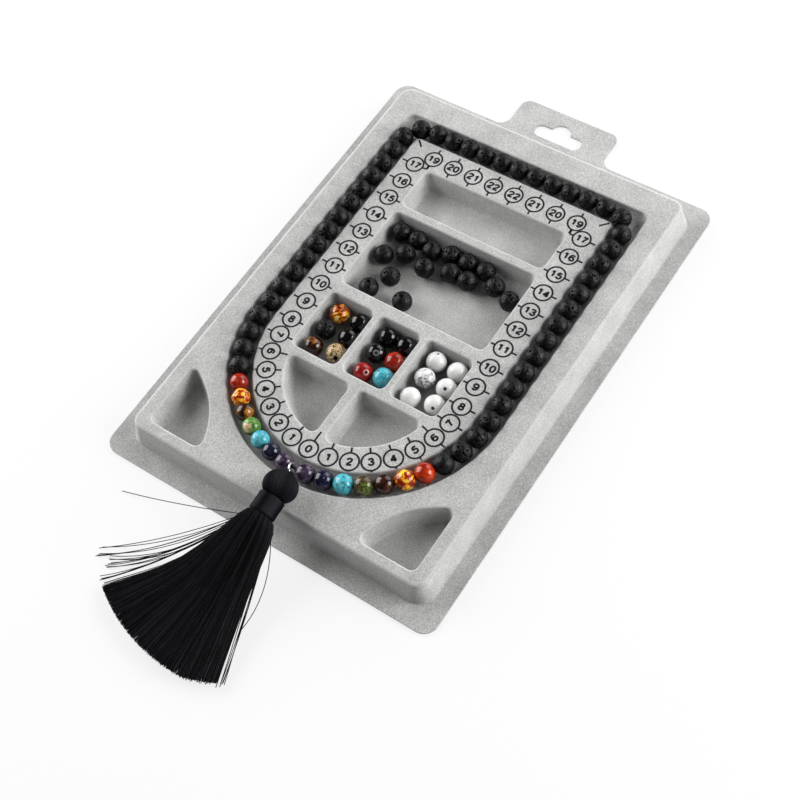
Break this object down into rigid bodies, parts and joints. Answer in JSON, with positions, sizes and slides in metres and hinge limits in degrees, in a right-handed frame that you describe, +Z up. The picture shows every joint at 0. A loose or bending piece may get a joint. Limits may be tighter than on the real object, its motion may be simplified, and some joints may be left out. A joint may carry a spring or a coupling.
{
  "type": "bead board",
  "caption": "Flocked bead design board with a U-shaped stringing groove, bead pockets and a hang tab, holding a strung tassel necklace and loose stone beads.",
  "frame": {"origin": "middle of the front flange, on the underside the board rests on", "axes": "+Z up from the table, +Y along the board towards the hang tab, +X to the right seen from above"},
  "size_m": [0.156, 0.2929, 0.0264],
  "materials": {
    "flock": "short grey flock over a thin formed plastic sheet, matt",
    "lava": "porous black lava stone, matt with small pits",
    "cord": "thin black beading cord",
    "ring": "bright silver-coloured wire",
    "silk": "black silky thread",
    "amethyst": "polished dark violet amethyst with pale bands",
    "lapis": "polished dark blue lapis",
    "turquoise": "polished turquoise with dark veins",
    "jasper": "polished green jasper with tan patches",
    "unakite": "polished olive and brown unakite",
    "tiger_eye": "polished brown tiger eye with gold bands",
    "mahogany": "polished dark mahogany stone",
    "amber": "polished translucent amber with flakes",
    "carnelian": "polished orange-red carnelian",
    "red_agate": "polished red agate",
    "onyx": "polished black onyx",
    "howlite": "polished white howlite with grey veins"
  },
  "bodies": {
    "board": {"tray": "flock"},
    "necklace": {"lava_strand": "lava", "necklace_cord": "cord"},
    "tassel": {"jump_ring": "ring", "tassel_head": "silk", "tassel_sleeve": "silk", "tassel_skirt": "silk"},
    "left_amber_bead": {"left_amber_bead": "amber"},
    "left_amethyst_bead": {"left_amethyst_bead": "amethyst"},
    "left_carnelian_bead": {"left_carnelian_bead": "carnelian"},
    "left_jasper_bead": {"left_jasper_bead": "jasper"},
    "left_lapis_bead": {"left_lapis_bead": "lapis"},
    "left_tiger_eye_bead": {"left_tiger_eye_bead": "tiger_eye"},
    "left_turquoise_bead": {"left_turquoise_bead": "turquoise"},
    "right_amber_bead": {"right_amber_bead": "amber"},
    "right_amethyst_bead": {"right_amethyst_bead": "amethyst"},
    "right_carnelian_bead": {"right_carnelian_bead": "carnelian"},
    "right_lapis_bead": {"right_lapis_bead": "lapis"},
    "right_mahogany_bead": {"right_mahogany_bead": "mahogany"},
    "right_turquoise_bead": {"right_turquoise_bead": "turquoise"},
    "right_unakite_bead": {"right_unakite_bead": "unakite"},
    "left_box_amber": {"left_box_amber": "amber"},
    "left_box_jasper": {"left_box_jasper": "jasper"},
    "left_box_lava": {"left_box_lava": "lava"},
    "left_box_onyx_back": {"left_box_onyx_back": "onyx"},
    "left_box_onyx_front": {"left_box_onyx_front": "onyx"},
    "left_box_tiger_eye": {"left_box_tiger_eye": "tiger_eye"},
    "middle_box_carnelian": {"middle_box_carnelian": "carnelian"},
    "middle_box_onyx_back": {"middle_box_onyx_back": "onyx"},
    "middle_box_onyx_front": {"middle_box_onyx_front": "onyx"},
    "middle_box_onyx_side": {"middle_box_onyx_side": "onyx"},
    "middle_box_red_agate": {"middle_box_red_agate": "red_agate"},
    "middle_box_turquoise": {"middle_box_turquoise": "turquoise"},
    "right_box_howlite_a": {"right_box_howlite_a": "howlite"},
    "right_box_howlite_b": {"right_box_howlite_b": "howlite"},
    "right_box_howlite_c": {"right_box_howlite_c": "howlite"},
    "right_box_howlite_d": {"right_box_howlite_d": "howlite"},
    "right_box_howlite_e": {"right_box_howlite_e": "howlite"},
    "right_box_howlite_f": {"right_box_howlite_f": "howlite"},
    "tray_lava_01": {"tray_lava_01": "lava"},
    "tray_lava_02": {"tray_lava_02": "lava"},
    "tray_lava_03": {"tray_lava_03": "lava"},
    "tray_lava_04": {"tray_lava_04": "lava"},
    "tray_lava_05": {"tray_lava_05": "lava"},
    "tray_lava_06": {"tray_lava_06": "lava"},
    "tray_lava_07": {"tray_lava_07": "lava"},
    "tray_lava_08": {"tray_lava_08": "lava"},
    "tray_lava_09": {"tray_lava_09": "lava"},
    "tray_lava_10": {"tray_lava_10": "lava"},
    "tray_lava_11": {"tray_lava_11": "lava"},
    "tray_lava_12": {"tray_lava_12": "lava"},
    "tray_lava_13": {"tray_lava_13": "lava"},
    "tray_lava_14": {"tray_lava_14": "lava"},
    "tray_lava_15": {"tray_lava_15": "lava"},
    "tray_lava_16": {"tray_lava_16": "lava"}
  },
  "joints": [
    {"name": "necklace_lift", "type": "slide", "parent": "board", "child": "necklace", "axis": [0, 0, 1], "range_m": [0, 0.06]},
    {"name": "tassel_swing", "type": "hinge", "parent": "necklace", "child": "tassel", "pos_m": [0, 0.02305, 0.0123], "axis": [-1, 0, 0], "range_deg": [0, 90]},
    {"name": "left_amber_bead_spin", "type": "hinge", "parent": "necklace", "child": "left_amber_bead", "pos_m": [-0.03662, 0.03754, 0.0123], "axis": [0.7291, -0.6844, 0], "continuous": true},
    {"name": "left_amethyst_bead_spin", "type": "hinge", "parent": "necklace", "child": "left_amethyst_bead", "pos_m": [-0.00479, 0.02327, 0.0123], "axis": [0.996, -0.0896, 0], "continuous": true},
    {"name": "left_carnelian_bead_spin", "type": "hinge", "parent": "necklace", "child": "left_carnelian_bead", "pos_m": [-0.04146, 0.04273, 0.0123], "axis": [0.6321, -0.7749, 0], "continuous": true},
    {"name": "left_jasper_bead_spin", "type": "hinge", "parent": "necklace", "child": "left_jasper_bead", "pos_m": [-0.02509, 0.0293, 0.0123], "axis": [0.8832, -0.469, 0], "continuous": true},
    {"name": "left_lapis_bead_spin", "type": "hinge", "parent": "necklace", "child": "left_lapis_bead", "pos_m": [-0.01181, 0.02437, 0.0123], "axis": [0.9753, -0.2207, 0], "continuous": true},
    {"name": "left_tiger_eye_bead_spin", "type": "hinge", "parent": "necklace", "child": "left_tiger_eye_bead", "pos_m": [-0.03113, 0.03304, 0.0123], "axis": [0.8133, -0.5818, 0], "continuous": true},
    {"name": "left_turquoise_bead_spin", "type": "hinge", "parent": "necklace", "child": "left_turquoise_bead", "pos_m": [-0.01861, 0.02639, 0.0123], "axis": [0.9375, -0.3479, 0], "continuous": true},
    {"name": "right_amber_bead_spin", "type": "hinge", "parent": "necklace", "child": "right_amber_bead", "pos_m": [0.03933, 0.04028, 0.0123], "axis": [0.6779, 0.7351, 0], "continuous": true},
    {"name": "right_amethyst_bead_spin", "type": "hinge", "parent": "necklace", "child": "right_amethyst_bead", "pos_m": [0.00514, 0.0233, 0.0123], "axis": [0.9954, 0.0961, 0], "continuous": true},
    {"name": "right_carnelian_bead_spin", "type": "hinge", "parent": "necklace", "child": "right_carnelian_bead", "pos_m": [0.04419, 0.04639, 0.0123], "axis": [0.5638, 0.8259, 0], "continuous": true},
    {"name": "right_lapis_bead_spin", "type": "hinge", "parent": "necklace", "child": "right_lapis_bead", "pos_m": [0.01283, 0.02461, 0.0123], "axis": [0.9708, 0.2398, 0], "continuous": true},
    {"name": "right_mahogany_bead_spin", "type": "hinge", "parent": "necklace", "child": "right_mahogany_bead", "pos_m": [0.03364, 0.03495, 0.0123], "axis": [0.7776, 0.6288, 0], "continuous": true},
    {"name": "right_turquoise_bead_spin", "type": "hinge", "parent": "necklace", "child": "right_turquoise_bead", "pos_m": [0.02025, 0.02703, 0.0123], "axis": [0.9256, 0.3784, 0], "continuous": true},
    {"name": "right_unakite_bead_spin", "type": "hinge", "parent": "necklace", "child": "right_unakite_bead", "pos_m": [0.02723, 0.0305, 0.0123], "axis": [0.8608, 0.509, 0], "continuous": true},
    {"name": "left_box_amber_lift", "type": "slide", "parent": "board", "child": "left_box_amber", "axis": [0, 0, 1], "range_m": [0, 0.04]},
    {"name": "left_box_jasper_lift", "type": "slide", "parent": "board", "child": "left_box_jasper", "axis": [0, 0, 1], "range_m": [0, 0.04]},
    {"name": "left_box_lava_lift", "type": "slide", "parent": "board", "child": "left_box_lava", "axis": [0, 0, 1], "range_m": [0, 0.04]},
    {"name": "left_box_onyx_back_lift", "type": "slide", "parent": "board", "child": "left_box_onyx_back", "axis": [0, 0, 1], "range_m": [0, 0.04]},
    {"name": "left_box_onyx_front_lift", "type": "slide", "parent": "board", "child": "left_box_onyx_front", "axis": [0, 0, 1], "range_m": [0, 0.04]},
    {"name": "left_box_tiger_eye_lift", "type": "slide", "parent": "board", "child": "left_box_tiger_eye", "axis": [0, 0, 1], "range_m": [0, 0.04]},
    {"name": "middle_box_carnelian_lift", "type": "slide", "parent": "board", "child": "middle_box_carnelian", "axis": [0, 0, 1], "range_m": [0, 0.04]},
    {"name": "middle_box_onyx_back_lift", "type": "slide", "parent": "board", "child": "middle_box_onyx_back", "axis": [0, 0, 1], "range_m": [0, 0.04]},
    {"name": "middle_box_onyx_front_lift", "type": "slide", "parent": "board", "child": "middle_box_onyx_front", "axis": [0, 0, 1], "range_m": [0, 0.04]},
    {"name": "middle_box_onyx_side_lift", "type": "slide", "parent": "board", "child": "middle_box_onyx_side", "axis": [0, 0, 1], "range_m": [0, 0.04]},
    {"name": "middle_box_red_agate_lift", "type": "slide", "parent": "board", "child": "middle_box_red_agate", "axis": [0, 0, 1], "range_m": [0, 0.04]},
    {"name": "middle_box_turquoise_lift", "type": "slide", "parent": "board", "child": "middle_box_turquoise", "axis": [0, 0, 1], "range_m": [0, 0.04]},
    {"name": "right_box_howlite_a_lift", "type": "slide", "parent": "board", "child": "right_box_howlite_a", "axis": [0, 0, 1], "range_m": [0, 0.04]},
    {"name": "right_box_howlite_b_lift", "type": "slide", "parent": "board", "child": "right_box_howlite_b", "axis": [0, 0, 1], "range_m": [0, 0.04]},
    {"name": "right_box_howlite_c_lift", "type": "slide", "parent": "board", "child": "right_box_howlite_c", "axis": [0, 0, 1], "range_m": [0, 0.04]},
    {"name": "right_box_howlite_d_lift", "type": "slide", "parent": "board", "child": "right_box_howlite_d", "axis": [0, 0, 1], "range_m": [0, 0.04]},
    {"name": "right_box_howlite_e_lift", "type": "slide", "parent": "board", "child": "right_box_howlite_e", "axis": [0, 0, 1], "range_m": [0, 0.04]},
    {"name": "right_box_howlite_f_lift", "type": "slide", "parent": "board", "child": "right_box_howlite_f", "axis": [0, 0, 1], "range_m": [0, 0.04]},
    {"name": "tray_lava_01_lift", "type": "slide", "parent": "board", "child": "tray_lava_01", "axis": [0, 0, 1], "range_m": [0, 0.04]},
    {"name": "tray_lava_02_lift", "type": "slide", "parent": "board", "child": "tray_lava_02", "axis": [0, 0, 1], "range_m": [0, 0.04]},
    {"name": "tray_lava_03_lift", "type": "slide", "parent": "board", "child": "tray_lava_03", "axis": [0, 0, 1], "range_m": [0, 0.04]},
    {"name": "tray_lava_04_lift", "type": "slide", "parent": "board", "child": "tray_lava_04", "axis": [0, 0, 1], "range_m": [0, 0.04]},
    {"name": "tray_lava_05_lift", "type": "slide", "parent": "board", "child": "tray_lava_05", "axis": [0, 0, 1], "range_m": [0, 0.04]},
    {"name": "tray_lava_06_lift", "type": "slide", "parent": "board", "child": "tray_lava_06", "axis": [0, 0, 1], "range_m": [0, 0.04]},
    {"name": "tray_lava_07_lift", "type": "slide", "parent": "board", "child": "tray_lava_07", "axis": [0, 0, 1], "range_m": [0, 0.04]},
    {"name": "tray_lava_08_lift", "type": "slide", "parent": "board", "child": "tray_lava_08", "axis": [0, 0, 1], "range_m": [0, 0.04]},
    {"name": "tray_lava_09_lift", "type": "slide", "parent": "board", "child": "tray_lava_09", "axis": [0, 0, 1], "range_m": [0, 0.04]},
    {"name": "tray_lava_10_lift", "type": "slide", "parent": "board", "child": "tray_lava_10", "axis": [0, 0, 1], "range_m": [0, 0.04]},
    {"name": "tray_lava_11_lift", "type": "slide", "parent": "board", "child": "tray_lava_11", "axis": [0, 0, 1], "range_m": [0, 0.04]},
    {"name": "tray_lava_12_lift", "type": "slide", "parent": "board", "child": "tray_lava_12", "axis": [0, 0, 1], "range_m": [0, 0.04]},
    {"name": "tray_lava_13_lift", "type": "slide", "parent": "board", "child": "tray_lava_13", "axis": [0, 0, 1], "range_m": [0, 0.04]},
    {"name": "tray_lava_14_lift", "type": "slide", "parent": "board", "child": "tray_lava_14", "axis": [0, 0, 1], "range_m": [0, 0.04]},
    {"name": "tray_lava_15_lift", "type": "slide", "parent": "board", "child": "tray_lava_15", "axis": [0, 0, 1], "range_m": [0, 0.04]},
    {"name": "tray_lava_16_lift", "type": "slide", "parent": "board", "child": "tray_lava_16", "axis": [0, 0, 1], "range_m": [0, 0.04]}
  ]
}
